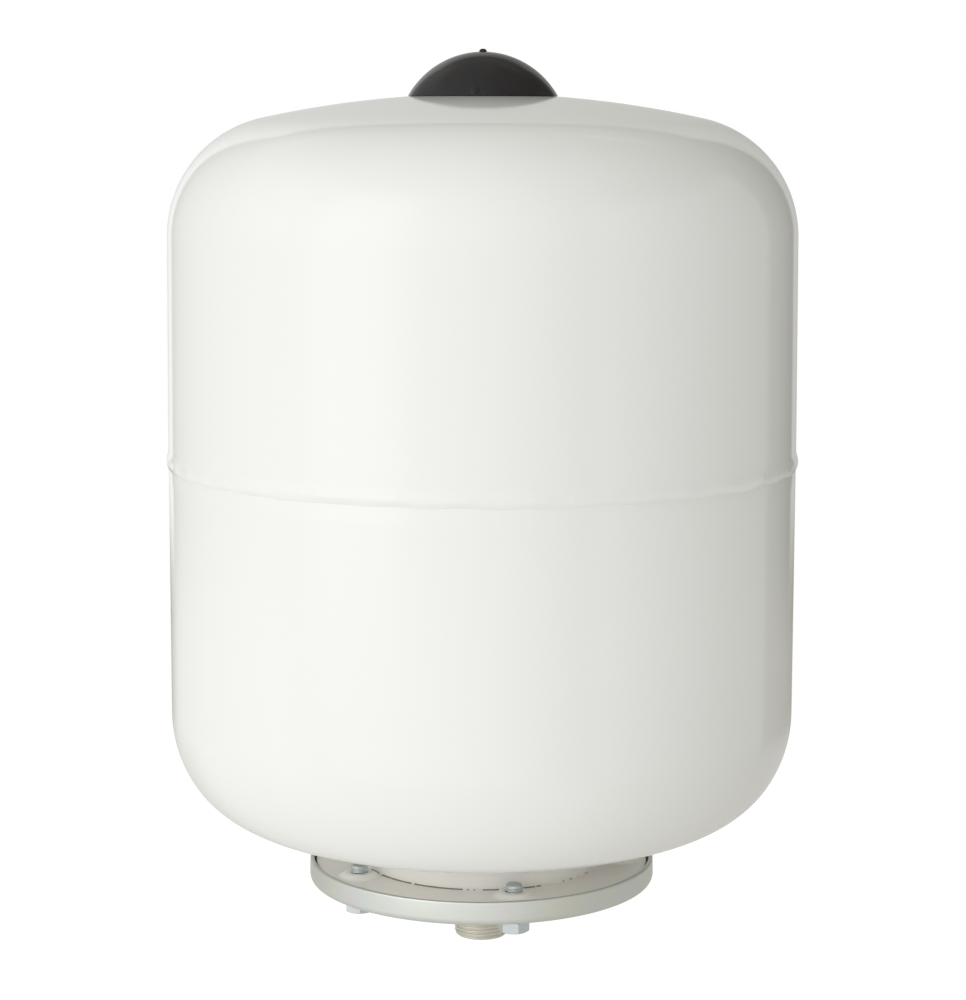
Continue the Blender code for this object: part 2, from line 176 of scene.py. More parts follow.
def sheet(points, thickness):
    """Closed outline of a sheet: the line, and a copy of it on its right. Minus goes to the left."""
    path = np.array(points)
    along = np.gradient(path, axis=0)
    along /= np.linalg.norm(along, axis=1)[:, None]
    copy = path + np.stack([along[:, 1], -along[:, 0]], axis=1) * thickness
    return points + [tuple(point) for point in copy[::-1]]


print("a softened square has", len(softened([(1, 0, 0.2), (2, 0, 0.2), (2, 1, 0.2), (1, 1, 0.2)])), "points")


# %% [markdown]
# ## Seats for the pieces
#
# Each finished piece gets its finish, rides on a body of the model and stands in for one of its nodes,
# which is hidden. One helper does all of it and prints the name of the material slot, so no piece can be
# forgotten.

# %% Seat a piece on its body
def seated(piece, body, slot, finish, *nodes):
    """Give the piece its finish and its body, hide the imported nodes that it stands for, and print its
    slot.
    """
    piece.data.materials.clear()
    piece.data.materials.append(finish)
    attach(piece, body)
    if nodes:
        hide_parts(*nodes)
    print(f"{piece.name}: {len(piece.data.polygons)} faces, {slot}, rides on {body}")


# %% [markdown]
# ## Shader maths that reads like maths
#
# A finish is a small calculation at every point of a surface: some noise, a mask, a mix of two
# colours. Drawing that by hand takes dozens of nodes. Here a Wire stands for one socket, so that
# `1 - mask` or `grain * 0.2 + base` adds its own Math nodes. Every other node comes from one method of
# Wiring, which takes the node's type, its settings and what its sockets get.

# %% A socket that can be calculated with
class Wire:
    """One output socket of a node tree. Sums with it add Math nodes."""

    def __init__(self, wiring, socket):
        self.wiring = wiring
        self.socket = socket

    def __add__(self, other):
        return self.wiring.maths("ADD", self, other)

    def __sub__(self, other):
        return self.wiring.maths("SUBTRACT", self, other)

    def __rsub__(self, other):
        return self.wiring.maths("SUBTRACT", other, self)

    def __mul__(self, other):
        return self.wiring.maths("MULTIPLY", self, other)

    def __truediv__(self, other):
        return self.wiring.maths("DIVIDE", self, other)

    def __pow__(self, other):
        return self.wiring.maths("POWER", self, other)

    __radd__ = __add__
    __rmul__ = __mul__


class Wiring:
    """The node tree of one finish, or of the world."""

    def __init__(self, tree):
        self.tree = tree

    def node(self, kind, settings=None, sockets=None, output=0):
        """Add a node, make its settings, then fill its sockets. Returns one output as a Wire."""
        made = self.tree.nodes.new(kind)
        for key, value in (settings or {}).items():
            if key == "stops":
                self.fill_ramp(made.color_ramp, value)
            else:
                setattr(made, key, value)
        for key, value in (sockets or {}).items():
            self.fill(self.found(made.inputs, key), value)
        return Wire(self, self.found(made.outputs, output))

    def fill_ramp(self, ramp, stops):
        while len(ramp.elements) < len(stops):
            ramp.elements.new(1.0)
        for element, (place, colour) in zip(ramp.elements, stops):
            element.position = place
            element.color = (*colour, 1.0)

    def found(self, sockets, key):
        """A socket by its number, its identifier or its name."""
        if isinstance(key, int):
            return sockets[key]
        for socket in sockets:
            if socket.identifier == key:
                return socket
        return sockets[key]

    def fill(self, socket, value):
        if isinstance(value, Wire):
            self.tree.links.new(value.socket, socket)
        else:
            socket.default_value = value

    def maths(self, operation, *values):
        return self.node("ShaderNodeMath", {"operation": operation}, dict(enumerate(values)))

    def eased(self, value, start, end):
        """0 before start, 1 after end, and a smooth rise between them."""
        sockets = {"Value": value, "From Min": start, "From Max": end}
        return self.node("ShaderNodeMapRange", {"interpolation_type": "SMOOTHSTEP"}, sockets)

    def between(self, value, low, high, soft):
        """1 from low to high, with soft edges."""
        rise = self.eased(value, low - soft, low + soft)
        return rise * (1 - self.eased(value, high - soft, high + soft))

    def mixed(self, share, first, second):
        """A mix of two colours: share 0 gives the first."""
        sockets = {"Factor_Float": share, "A_Color": first, "B_Color": second}
        return self.node("ShaderNodeMix", {"data_type": "RGBA"}, sockets, "Result_Color")

    def split(self, vector):
        """X, Y and Z of a vector, as three Wires."""
        made = self.node("ShaderNodeSeparateXYZ", None, {"Vector": vector})
        outputs = made.socket.node.outputs
        return [Wire(self, outputs[axis]) for axis in "XYZ"]


print("wires ready")


# %% [markdown]
# ## The start of every finish
#
# A Finish holds a new material, its Principled shader and the place of each point on the piece in
# metres. Noise is asked for by the size of its blobs in millimetres, because that is what the eye
# judges: paint has ripples of 2 mm, rubber has a grain of half a millimetre. Bump heights are given in
# millimetres too.

# %% A finish and its noise
def colour(red, green, blue):
    return (red, green, blue, 1.0)


WHITE = colour(1.0, 1.0, 1.0)


class Finish(Wiring):
    """A material in the making. Attributes: material, shader, place, x, y, z."""

    def __init__(self, name, **fixed):
        self.material = bpy.data.materials.new(name)
        self.material.use_nodes = True
        super().__init__(self.material.node_tree)
        self.shader = self.tree.nodes["Principled BSDF"]
        for key, value in fixed.items():
            self.shader.inputs[key.replace("_", " ")].default_value = value
        self.place = self.node("ShaderNodeTexCoord", output="Object")
        self.x, self.y, self.z = self.split(self.place)

    def noise(self, size_mm, detail=2.0, roughness=0.5, stretch=None):
        """Soft noise from 0 to 1 with blobs of this size. stretch scales the pattern along X, Y and Z."""
        place = self.place
        if stretch:
            place = self.node("ShaderNodeVectorMath", {"operation": "MULTIPLY"}, {0: place, 1: stretch})
        sockets = {"Vector": place, "Scale": 1 / (size_mm * MM), "Detail": detail, "Roughness": roughness}
        return self.node("ShaderNodeTexNoise", None, sockets)

    def bump(self, height, deep_mm, under=None):
        """A Bump node: height 1 stands deep_mm proud of height 0. under is a bump below this one."""
        sockets = {"Height": height, "Distance": deep_mm * MM, "Strength": 1.0}
        if under:
            sockets["Normal"] = under
        return self.node("ShaderNodeBump", None, sockets)

    def wear(self, **looks):
        """Fill sockets of the shader, by name with _ for a space."""
        for key, value in looks.items():
            self.fill(self.shader.inputs[key.replace("_", " ")], value)
        return self.material

    def distance_to_axis(self):
        return ((self.x * self.x) + (self.y * self.y)) ** 0.5

    def specks(self, cell_mm, size_mm, share):
        """Small round specks: one in every cell of a Voronoi pattern, and only a share of them shown."""
        sockets = {"Vector": self.place, "Scale": 1 / (cell_mm * MM)}
        near = self.node("ShaderNodeTexVoronoi", None, sockets, "Distance")
        lots = Wire(self, near.socket.node.outputs["Color"])
        chosen = self.node("ShaderNodeSeparateColor", None, {"Color": lots})
        dots = 1 - self.eased(near, size_mm / cell_mm * 0.5, size_mm / cell_mm)
        return dots * self.eased(chosen, 1 - share, 1.001 - share)


print("finishes ready")


# %% [markdown]
# ## Ivory enamel for the shells
#
# The shells are sprayed with a gloss stove enamel in a warm white. Up close it isn't flat: it dries
# with a faint ripple called orange peel, the pressed steel below it wavers a little, and a few specks of
# dust are caught in it. One Principled shader with a low roughness gives the gloss. Three bumps give the
# ripple, the waver and the specks. Round the neck a mask by height and distance from the axis mixes in a
# much paler cream, like the ring's. That cream is partly a creamier coat and partly painted light: it makes
# the shaded neck brighter and warmer, standing in for warm light bounced off the zinc flange.

# %% Ivory enamel
IVORY = colour(0.728, 0.731, 0.709)
WARM_IVORY = colour(0.733, 0.729, 0.697)
DUST = colour(0.42, 0.40, 0.33)
# painted light: the neck cream is much paler than the ivory, partly a creamier coat and partly painted warm
# bounce light
NECK_CREAM_AND_BOUNCE = colour(0.965, 0.95, 0.905)


def ivory_enamel():
    finish = Finish("ivory_enamel", IOR=1.5)
    tone = finish.noise(55, 2)
    warm = finish.mixed(tone * 0.5, IVORY, WARM_IVORY)
    # painted light near the neck: this mask turns the paint a much paler cream, partly a creamier coat and
    # partly painted warm bounce light that brightens the shaded neck
    near_neck = 1 - finish.eased(finish.distance_to_axis(), 0.0600, 0.0680)
    low_down = 1 - finish.eased(finish.z, 0.044, 0.058)
    neck_cream_and_bounce = near_neck * low_down
    painted = finish.mixed(neck_cream_and_bounce, warm, NECK_CREAM_AND_BOUNCE)
    dust = finish.specks(34, 0.34, 0.05)
    body = finish.mixed(dust * 0.6, painted, DUST)
    peel = finish.bump(finish.noise(2.6, 1.5), 0.010)
    waver = finish.bump(finish.noise(42, 1.0), 0.10, peel)
    nibs = finish.bump(dust, 0.06, waver)
    gloss = finish.noise(18, 3) * 0.05 + 0.085
    return finish.wear(Base_Color=body, Roughness=gloss, Normal=nibs)


enamel = ivory_enamel()
print(enamel.name, "has", len(enamel.node_tree.nodes), "nodes")


# %% [markdown]
# ## The pressed heads
#
# Each shell starts as a flat disc of 1.5 mm steel that is pressed into a deep bowl. A bowl like this has
# three parts in its outline: a nearly straight wall, a tight bend called the knuckle, and a wide
# shallow crown that closes it. The three have to meet without a kink, so the crown's radius follows
# from the other sizes.

# %% Outline of a pressed head
def pressed_head(wall_r, wall_z, knuckle, apex_z, end_r, first_deg=0, knuckle_steps=26, crown_steps=22):
    """Knuckle and crown, from the end of the wall to radius end_r. The crown is tangent to the knuckle."""
    up = 1 if apex_z > wall_z else -1
    rise = abs(apex_z - wall_z)
    across = wall_r - knuckle
    crown = (across**2 + rise**2 - knuckle**2) / (2 * (rise - knuckle))
    crown_z = apex_z - up * crown
    joint = math.degrees(math.atan2(up * (wall_z - crown_z), across))
    end = math.degrees(math.acos(end_r / crown))
    bend = arc((across, wall_z), knuckle, up * first_deg, up * joint, knuckle_steps)
    return bend + arc((0, crown_z), crown, up * joint, up * end, crown_steps)[1:]


SHEET = 1.5
BUSH_HOLE_R = 10.3
UPPER_HEAD = (149.1, 342.9, 57.0, 409.9)  # wall radius, wall end, knuckle, apex
mouth_low, mouth_high = span("upper_shell")
upper_wall = line((mouth_high.x, mouth_low.z), UPPER_HEAD[:2], 10)
upper_outer = upper_wall[:-1] + pressed_head(*UPPER_HEAD, BUSH_HOLE_R)
upper_shell = turned("upper_shell_pressing", sheet(upper_outer, -SHEET), 288)
seated(upper_shell, "vessel", "white_paint", enamel, "upper_shell")

# %% [markdown]
# The lower shell has the same kind of head, but its bend has two radii: a wide shoulder leaves the wall,
# and a tighter knuckle runs into the crown. Its middle is drawn down into a neck, and the neck's end is
# turned out into a lip. The ring flange sits on that lip. At its top the shell steps inwards and slides
# into the upper one, which keeps the two in line while they are welded.

# %% Lower shell with its neck
NECK_R = 57.9
NECK_FILLET = 4.0
SPIGOT_R = 148.2
LIP_R = 63.0
lip_z = span("lower_shell")[0].z + SHEET
crown_end = NECK_R + NECK_FILLET
SEAM_Z = mouth_low.z - 3.0
WALL_R, WALL_Z, SHOULDER, SHOULDER_DEG, KNUCKLE = 150.15, 115.0, 58.0, 32.0, 46.7
LOWER_APEX_Z = 46.7
inward = SHOULDER - KNUCKLE
turn = math.radians(SHOULDER_DEG)
shoulder = arc((WALL_R - SHOULDER, WALL_Z), SHOULDER, 0, -SHOULDER_DEG, 14)
head = pressed_head(WALL_R - inward * (1 - math.cos(turn)), WALL_Z - inward * math.sin(turn), KNUCKLE,
                    LOWER_APEX_Z, crown_end, SHOULDER_DEG, 20)
fillet = arc((crown_end, head[-1][1] - NECK_FILLET), NECK_FILLET, 112, 180, 10)
spigot = [(SPIGOT_R, SEAM_Z + 15.1), (SPIGOT_R, SEAM_Z + 2.6)]
lower_wall = line((149.9, SEAM_Z), (WALL_R, WALL_Z), 12)
neck_foot = [(NECK_R, lip_z + 1.2), (NECK_R + 0.25, lip_z + 0.45), (NECK_R + 0.8, lip_z + 0.02),
             (LIP_R, lip_z)]
lower_outer = spigot + lower_wall[:-1] + shoulder + head[1:] + fillet + neck_foot
lower_shell = turned("lower_shell_pressing", sheet(lower_outer, SHEET), 288)
seated(lower_shell, "vessel", "white_paint", enamel, "lower_shell")

# %% [markdown]
# ## The girth weld
#
# The two shells are joined by one weld that runs right round while the vessel turns. The bead stands
# about 1 mm proud, and it isn't even: the pool of metal freezes in low lumps and fine ripples, and its
# lower edge wavers. A plain ring would look moulded, so the bend rule adds two sizes of unevenness to the
# part that stands proud of the shells, and moves the lower edge slowly up and down.

# %% Uneven weld bead
dice = np.random.default_rng(24)
CREST_LIMIT_R = 151.0


def uneven(angle, slowest, fastest, count):
    """A sum of waves round the axis, from about -1 to 1, that meets itself after one turn."""
    total = np.zeros_like(angle)
    for _ in range(count):
        total += np.sin(dice.integers(slowest, fastest) * angle + dice.uniform(0, 2 * math.pi))
    return total / math.sqrt(count)


def bead_ripples(angle, radius, height):
    proud = np.clip((radius - 150.0) / 0.9, 0, 1)
    lumps = np.clip(uneven(angle, 14, 60, 9), -1.2, 1.2) * 0.13
    ripples = uneven(angle, 110, 230, 7) * 0.030
    radius = np.minimum(radius + proud * (lumps + ripples - 0.10), CREST_LIMIT_R)
    toe = uneven(angle, 8, 40, 8) * 0.30
    return radius, height + toe * np.clip((SEAM_Z + 2.0 - height) / 3, 0, 1)


bead_outline = softened([
    (149.85, SEAM_Z - 1.5, 0), (150.05, SEAM_Z - 1.4, 0.4), (150.95, SEAM_Z + 0.8, 1.6),
    (150.9, SEAM_Z + 3.0, 1.8), (150.1, SEAM_Z + 5.6, 1.2), (149.95, SEAM_Z + 6.8, 0),
    (149.9, SEAM_Z + 2.7, 0), (148.8, SEAM_Z + 2.7, 0), (149.85, SEAM_Z + 0.1, 0),
], 6)
weld = turned("girth_weld_bead", bead_outline, 900, bead_ripples, 60)
seated(weld, "vessel", "white_paint", enamel, "girth_weld")

# %% [markdown]
# ## Cream enamel for the ring flange
#
# The ring's paint is a pale cream and less glossy than the shells'. The cream is much paler than the
# shells' ivory: partly a creamier coat, partly painted light that makes the shaded ring brighter and warmer,
# standing in for warm light bounced off the zinc flange. Here and there it is stained a faint tan. A mask
# from two noises of different size does that better than one, because one noise alone looks like clouds.

# %% Cream enamel
# painted light: both creams are much paler than the shell ivory, partly a creamier coat and partly painted
# bounce light on the shaded ring
PALE_CREAM_AND_BOUNCE = colour(0.97, 0.955, 0.91)
DEEP_CREAM_AND_BOUNCE = colour(0.955, 0.935, 0.875)


def cream_enamel_and_bounce():
    finish = Finish("cream_enamel_and_bounce", IOR=1.5)
    runs = finish.noise(14, 3)
    fine = finish.noise(3.5, 2)
    warm = finish.mixed(runs, PALE_CREAM_AND_BOUNCE, DEEP_CREAM_AND_BOUNCE)
    stain = finish.eased(runs * 0.6 + fine * 0.4, 0.56, 0.80)
    body = finish.mixed(stain * 0.30, warm, colour(0.90, 0.80, 0.68))
    peel = finish.bump(finish.noise(2.2, 2), 0.008)
    sag = finish.bump(finish.noise(11, 1), 0.10, peel)
    return finish.wear(Base_Color=body, Roughness=fine * 0.1 + 0.30, Normal=sag)


cream = cream_enamel_and_bounce()
print(cream.name, "has", len(cream.node_tree.nodes), "nodes")

# %% [markdown]
# ## The ring flange
#
# The ring takes the five flange bolts. Round each bolt the metal rises to a low boss. The top face is a
# grid of points close enough together to bend smoothly, and the rule lifts each point by how near it is
# to a bolt. The five holes are then cut with a Boolean, which is the safe way to cut through a curved
# face.

# %% Ring flange with its bosses
def boss_rise(angle, radius, height):
    x = radius * np.sin(angle)
    y = -radius * np.cos(angle)
    near = np.min([np.hypot(x - bx, y - by) for bx, by in BOLT_PLACES], axis=0)
    share = np.clip((10.4 - near) / 4.4, 0, 1)
    top = np.clip((height - 38.2) / 0.6, 0, 1)
    return radius, height + 2.0 * share * share * (3 - 2 * share) * top


def drilled(piece, hole_r, low_z, high_z):
    """Cut a hole on every bolt axis, and leave a plain mesh."""
    cutters = bmesh.new()
    for x, y in BOLT_PLACES:
        made = bmesh.ops.create_cone(cutters, cap_ends=True, segments=40, radius1=hole_r * MM,
                                     radius2=hole_r * MM, depth=(high_z - low_z) * MM)
        bmesh.ops.translate(cutters, verts=made["verts"], vec=Vector((x, y, (low_z + high_z) / 2)) * MM)
    mesh = bpy.data.meshes.new("bolt_holes")
    cutters.to_mesh(mesh)
    cutters.free()
    helper = bpy.data.objects.new("bolt_holes", mesh)
    bpy.context.scene.collection.objects.link(helper)
    cut = piece.modifiers.new("holes", "BOOLEAN")
    cut.operation = "DIFFERENCE"
    cut.solver = "EXACT"
    cut.object = helper
    graph = bpy.context.evaluated_depsgraph_get()
    result = bpy.data.meshes.new_from_object(piece.evaluated_get(graph))
    piece.modifiers.clear()
    piece.data = result
    bpy.data.objects.remove(helper)
    result.set_sharp_from_angle(angle=math.radians(35))


RING_TOP = 39.3
RING_HOLE_R = 4.25
ring_low, ring_high = span("ring_flange")
RING_R = ring_high.x
ring_outline = line((58.9, RING_TOP), (RING_R - 1.0, RING_TOP), 44)
ring_outline += softened([(RING_R, RING_TOP, 1.0), (RING_R, ring_low.z, 0.5), (63.3, ring_low.z, 0.3),
                          (63.3, 37.1, 0), (59.3, 37.1, 0), (58.2, 38.2, 0), (58.2, 38.8, 0.3)])
ring = turned("ring_flange_casting", ring_outline, 600, boss_rise)
drilled(ring, RING_HOLE_R, 30.0, 46.0)
seated(ring, "vessel", "cream_paint", cream, "ring_flange")

# %% [markdown]
# ## The paint line at the neck
#
# Ring and neck are two pieces, so a fine joint runs between them. Paint has filled most of it. Where
# the paint has cracked, water gets in and the steel shows as a thin rust-brown line, broken up into
# dashes. The stretches that are open are stored on the mesh as a point attribute, and both the shape
# and the colour use them: the line sinks exactly where it turns brown.

# %% Open and painted stretches of the joint
# first angle, last angle in degrees, and how open that stretch is
OPEN_STRETCHES = [(-65, -57, 1.0), (-54.6, -34.1, 0.9), (-33.2, -8.4, 0.9), (-6.9, -5.4, 0.6),
                  (-3.9, -2.6, 0.6), (-1.8, -0.8, 0.5), (0.4, 8.3, 0.95), (19.2, 26.0, 0.6),
                  (26.0, 28.9, 1.0), (41.0, 42.3, 0.8), (45.2, 48.0, 0.45), (51, 53, 0.4),
                  (57, 61.5, 0.4), (98, 131, 0.9), (134, 137, 0.7), (171, 176, 0.8),
                  (188, 226, 1.0), (231, 233, 0.6)]


def open_share(angle_deg):
    """How open the joint is at an angle, 0 to 1, with short ramps at the ends of each stretch."""
    share = np.zeros_like(angle_deg)
    for start, end, strength in OPEN_STRETCHES:
        inside = np.clip((angle_deg - start) / 0.5, 0, 1) * np.clip((end - angle_deg) / 0.5, 0, 1)
        share = np.maximum(share, inside * strength)
    return share


def degrees_round(x, y):
    """Angle from the front towards the right, from -90 to 270 degrees."""
    return (np.degrees(np.arctan2(x, -y)) + 90) % 360 - 90


def sink_open(angle, radius, height):
    share = open_share((np.degrees(angle) + 90) % 360 - 90)
    return radius, height - share * np.clip((height - 38.5) / 0.6, 0, 1) * 0.25


def marked(piece, name, rule):
    """Store rule(x, y, z in millimetres) on every point of the piece."""
    spots = np.empty(len(piece.data.vertices) * 3, np.float32)
    piece.data.vertices.foreach_get("co", spots)
    spots = spots.reshape(-1, 3) / MM
    values = piece.data.attributes.new(name, "FLOAT", "POINT")
    values.data.foreach_set("value", rule(*spots.T).astype(np.float32))


joint_outline = softened([(58.0, 38.45, 0), (58.35, 38.75, 0), (58.95, 39.35, 0), (59.05, 39.45, 0.1),
                          (58.35, 39.75, 0.4), (58.05, 40.35, 0.1), (57.97, 40.35, 0)])
joint = turned("neck_joint_line", joint_outline, 1440, sink_open, 70)
marked(joint, "open_joint", lambda x, y, z: open_share(degrees_round(x, y)))


def cracked_enamel():
    finish = Finish("cracked_enamel", IOR=1.5)
    gap = finish.node("ShaderNodeAttribute", {"attribute_name": "open_joint"}, None, "Fac")
    crumbs = finish.noise(0.9, 3)
    bottom = 1 - finish.eased(finish.z, 0.03958, 0.03995)
    ragged = finish.eased(gap + crumbs * 0.3, 0.42, 0.72) * bottom
    # the paint beside the rust dashes uses the same creams: partly a creamier coat, partly painted bounce
    # light
    paint = finish.mixed(finish.noise(14, 3), PALE_CREAM_AND_BOUNCE, DEEP_CREAM_AND_BOUNCE)
    rust = finish.mixed(crumbs, colour(0.17, 0.13, 0.09), colour(0.34, 0.27, 0.19))
    body = finish.mixed(ragged, paint, rust)
    rough = ragged * 0.5 + 0.28
    return finish.wear(Base_Color=body, Roughness=rough, Normal=finish.bump(crumbs, 0.08))


seated(joint, "vessel", "cream_paint", cracked_enamel())

# %% [markdown]
# ## Zinc plate
#
# The counterflange, bolts and washers are zinc plated and then passivated, which leaves a thin clear
# film. The film's thickness changes from place to place, so the silver shows weak tints of yellow,
# green, blue and pink. A ramp of pale colours over a large, slow noise gives those tints. Fine streaks
# from rolling and tumbling change the roughness.

# %% Zinc plate
def zinc_plate(name, silver, tint_share, blob_mm, rough):
    finish = Finish(name, Metallic=1.0)
    film = finish.noise(blob_mm, 3, 0.6)
    tints = [(0.30, (0.68, 0.68, 0.59)), (0.42, (0.63, 0.68, 0.62)), (0.52, (0.61, 0.67, 0.69)),
             (0.62, (0.67, 0.63, 0.67)), (0.74, (0.70, 0.66, 0.57))]
    tint = finish.node("ShaderNodeValToRGB", {"stops": tints}, {"Fac": film})
    body = finish.mixed(tint_share, silver, tint)
    streaks = finish.noise(2.0, 4, 0.6, (0.35, 0.35, 2.4))
    spots = finish.noise(0.7, 2)
    worn = finish.mixed(finish.eased(spots, 0.60, 0.78) * 0.35, body, colour(0.50, 0.51, 0.50))
    roughness = streaks * 0.16 + rough
    skin = finish.bump(streaks, 0.012, finish.bump(finish.noise(16, 2), 0.10))
    return finish.wear(Base_Color=worn, Roughness=roughness, Normal=skin)


flange_zinc = zinc_plate("flange_zinc", colour(0.67, 0.665, 0.605), 0.5, 26, 0.32)
bolt_zinc = zinc_plate("bolt_zinc", colour(0.61, 0.665, 0.685), 0.3, 9, 0.40)
print("zinc:", flange_zinc.name, bolt_zinc.name)

# %% [markdown]
# ## The counterflange
#
# This plate is pressed from 2 mm steel: flat in the middle, with its rim turned up so that it is stiff
# and hides the joint. The bend is part of the outline. The edge of the rim is where the sheet was
# trimmed, so it has small soft corners. A very slight waver keeps the rim from looking machined.

# %% Counterflange
def rim_waver(angle, radius, height):
    high = np.clip((height - 34) / 6, 0, 1)
    waver = np.sin(2 * angle + 0.6) * 0.10 + np.sin(3 * angle + 2.0) * 0.07 + np.sin(7 * angle) * 0.03
    return radius - high * (0.20 + waver * 0.6), height + high * (waver * 0.6 - 0.14)


PLATE_SHEET = 2.0
PLATE_HOLE_R = 13.5
PLATE_BOLT_HOLE_R = 4.5
plate_top = PLATE_BOTTOM + PLATE_SHEET
plate_outline = softened([
    (PLATE_HOLE_R, PLATE_BOTTOM, 0.3), (RIM_R - 8.0, PLATE_BOTTOM, 0), (RIM_R, PLATE_BOTTOM, 3.2),
    (RIM_R, RIM_TOP, 0.9), (RIM_R - PLATE_SHEET, RIM_TOP, 0.6), (RIM_R - PLATE_SHEET, plate_top, 1.6),
    (PLATE_HOLE_R, plate_top, 0.3)], 10)
plate = turned("counterflange_dish", plate_outline, 480, rim_waver)
drilled(plate, PLATE_BOLT_HOLE_R, PLATE_BOTTOM - 5, PLATE_BOTTOM + 7)
seated(plate, "vessel", "zinc_plate", flange_zinc, "counterflange")

# %% [markdown]
# ## Threads
#
# A thread is one groove that climbs as it goes round. For a point at some angle and height, the groove
# is found from height divided by pitch, minus the share of a turn that the angle makes. The part after
# the decimal point says where the point lies between two crests. Rows of points much closer together
# than the pitch keep the flanks crisp. The groove fades in and out at its ends, as it does where a die
# starts and stops.

# %% Depth of a thread
def groove(angle, height, pitch):
    """0 on a crest and 1 at a root. Crests and roots are a little flat."""
    phase = (height / pitch - angle / (2 * math.pi)) % 1
    return np.clip((np.abs(2 * phase - 1) - 0.22) / 0.64, 0, 1)


def fade(height, start, end, run):
    """1 between start and end, falling to 0 over a length run at both ends."""
    return np.clip((height - start) / run, 0, 1) * np.clip((end - height) / run, 0, 1)


# %% [markdown]
# ## The water nipple
#
# The nipple is a steel tube with a G 3/4 male thread: 14 threads to the inch, so a pitch of 1.814 mm.
# Its metal is nickel coloured with a green-grey cast. The roots are darker because less light gets there,
# and the shader paints shade there as well: a mask from the distance to the axis darkens and roughens the
# roots and everything inside them, the bore too.

# %% Nipple steel
def nipple_steel():
    finish = Finish("nipple_steel", Metallic=1.0)
    oil = finish.noise(5, 3)
    # painted shade: this mask darkens the thread roots and everything nearer the axis, and makes them
    # rougher
    root_shade = 1 - finish.eased(finish.distance_to_axis(), 0.0121, 0.0130)
    metal = finish.mixed(oil, colour(0.80, 0.785, 0.71), colour(0.86, 0.845, 0.765))
    body = finish.mixed(root_shade * 0.25, metal, colour(0.40, 0.385, 0.32))
    turning = finish.noise(0.5, 2, 0.5, (0.06, 0.06, 1.6))
    skin = finish.bump(turning, 0.003)
    return finish.wear(Base_Color=body, Roughness=turning * 0.18 + 0.22 + root_shade * 0.15, Normal=skin)


steel_green = nipple_steel()

# %% Nipple with its thread
NIPPLE_R = 13.2
NIPPLE_BORE = 10.0
nipple_top = span("water_nipple")[1].z
PIPE_PITCH = 1.814


def pipe_thread(angle, radius, height):
    outside = np.clip((radius - 11.2) / 0.5, 0, 1)
    cut = groove(angle, height, PIPE_PITCH) * fade(height, -1.0, 17.5, 1.2)
    return radius - outside * np.minimum(cut * 0.85, np.maximum(radius - 11.9, 0)), height


nipple_outline = [(NIPPLE_BORE + 0.6, 0.0), (11.7, 0.0)]
nipple_outline += line((12.0, 0.03), (NIPPLE_R, 1.25), 8) + line((NIPPLE_R, 1.4), (NIPPLE_R, 18.4), 120)
nipple_outline += [(NIPPLE_R, nipple_top - 0.5), (NIPPLE_R - 0.5, nipple_top)]
nipple_outline += [(NIPPLE_BORE + 0.4, nipple_top), (NIPPLE_BORE, nipple_top - 0.4), (NIPPLE_BORE, 0.6)]
nipple = turned("water_nipple_tube", nipple_outline, 288, pipe_thread, 75)
seated(nipple, "vessel", "nipple_steel", steel_green, "water_nipple")

# %% [markdown]
# ## The nipple's weld
#
# Under the plate the nipple is welded on from outside. A hand-held weld looks like a row of coins that
# lean on each other. The bend rule moves the face of the fillet in and out by a saw-like wave, and its
# heat colours come from a ramp over a noise.

# %% Weld steel and the nipple's weld
def weld_steel():
    finish = Finish("weld_steel", Metallic=1.0)
    heat = finish.noise(4, 3)
    stops = [(0.32, (0.40, 0.40, 0.39)), (0.5, (0.52, 0.50, 0.46)), (0.62, (0.47, 0.40, 0.31)),
             (0.75, (0.33, 0.34, 0.38))]
    body = finish.node("ShaderNodeValToRGB", {"stops": stops}, {"Fac": heat})
    slag = finish.noise(0.8, 3)
    return finish.wear(Base_Color=body, Roughness=slag * 0.3 + 0.32, Normal=finish.bump(slag, 0.08))


def coin_ripples(angle, radius, height):
    face = np.clip((radius - 13.7) / 0.6, 0, 1) * np.clip((weld_top - height) / 0.5, 0, 1)
    wave = (angle / (2 * math.pi) * 34 + height * 0.22) % 1
    return radius + face * (0.16 * wave**0.6 - 0.12 + 0.10 * np.sin(5 * angle)), height


WELD_LEG = 3.3
weld_top = span("nipple_weld")[1].z
weld_foot = weld_top - WELD_LEG
weld_r = PLATE_HOLE_R + WELD_LEG
weld_outline = softened([(PLATE_HOLE_R, weld_foot, 0.3), (14.1, weld_foot + 0.2, 0.3),
                         (weld_r - 1.1, weld_top - 1.1, 0.9), (weld_r, weld_top - 0.1, 0.3),
                         (weld_r - 0.2, weld_top, 0), (PLATE_HOLE_R, weld_top, 0)], 5)
nipple_weld = turned("nipple_weld_bead", weld_outline, 408, coin_ripples, 60)
seated(nipple_weld, "vessel", "weld_steel", weld_steel(), "nipple_weld")

# %% [markdown]
# ## The flange bolts
#
# Five M8 bolts come up through the plate and are screwed into the ring's bosses, so only their ends
# show above it. A bolt head is a hexagon whose corners are cut off by a cone. As a rule for the radius
# that is simply the smaller of the two: the hexagon's distance at this angle, or the cone's distance at
# this height. Each bolt stopped at its own angle, so each one is turned differently.

# %% Flange bolts
BOLT_R = 4.0
BOLT_PITCH = 1.25
bolt_bottom = span(BOLT_NAMES[0])[0].z
bolt_tip = span(BOLT_NAMES[0])[1].z
HEAD_TOP = round(bolt_bottom + 5.3, 2)
SIDE = 99.0  # a mark: points at this radius take the hexagon's shape
HEAD_APOTHEM = 6.5


def hexagon(angle, apothem):
    """Distance of a hexagon's side from its middle."""
    sixth = math.pi / 3
    return apothem / np.cos((angle + sixth / 2) % sixth - sixth / 2)


